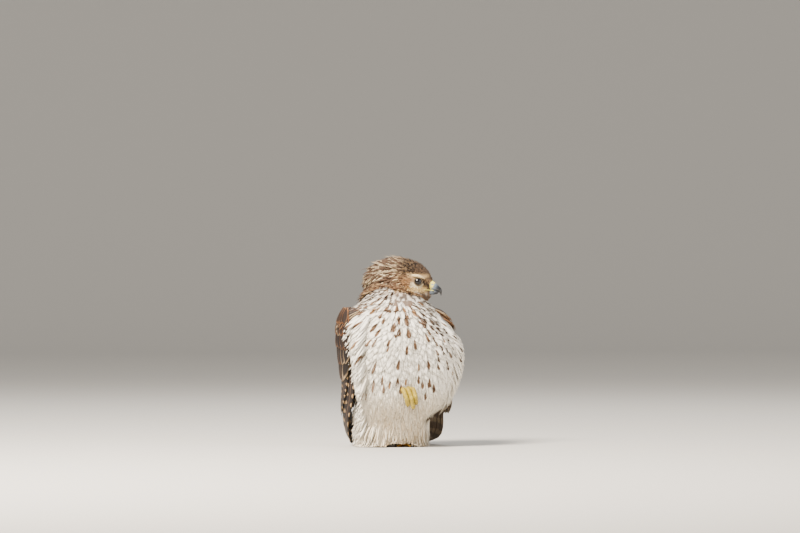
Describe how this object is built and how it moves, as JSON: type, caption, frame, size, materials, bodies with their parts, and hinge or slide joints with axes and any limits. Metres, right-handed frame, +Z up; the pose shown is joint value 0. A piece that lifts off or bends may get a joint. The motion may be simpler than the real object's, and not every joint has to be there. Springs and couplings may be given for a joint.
{
  "type": "red-shouldered hawk",
  "caption": "Young streaked hawk at life size, fluffed up on one leg with the other foot drawn up and its head turned to the left.",
  "frame": {"origin": "centre of the standing foot's flat sole, on the floor", "axes": "+Z up, -Y the way the breast faces, +X to the bird's own left"},
  "size_m": [0.2116, 0.3093, 0.3204],
  "materials": {
    "down": "matte, soft white and cream body feathers",
    "head": "matte, streaked brown and buff feathers",
    "brown": "satin, dark brown feather vanes with pale notches",
    "quill": "satin, brown tail vanes with paler bars",
    "cere": "waxy pale yellow skin",
    "horn": "smooth horn, blue grey to black",
    "skin": "scaly golden yellow skin",
    "claw": "smooth black horn",
    "eye": "wet, very dark brown"
  },
  "bodies": {
    "root": {"standing_foot": "skin", "standing_claw_inner": "claw", "standing_claw_middle": "claw", "standing_claw_outer": "claw", "standing_claw_hind": "claw", "torso": "down", "tail": "quill", "wing_left_primaries": "brown", "wing_left_secondaries": "brown", "wing_left_greater_coverts": "brown", "wing_left_median_coverts": "brown", "wing_left_lesser_coverts": "brown", "wing_right_primaries": "brown", "wing_right_secondaries": "brown", "wing_right_greater_coverts": "brown", "wing_right_median_coverts": "brown", "wing_right_lesser_coverts": "brown", "cere": "cere", "bill_upper": "horn", "bill_lower": "horn", "neck": "head", "head": "head", "eye_left": "eye", "eye_right": "eye", "standing_shank": "skin", "tucked_foot": "skin", "tucked_claw_inner": "claw", "tucked_claw_middle": "claw", "tucked_claw_outer": "claw"}
  },
  "joints": []
}
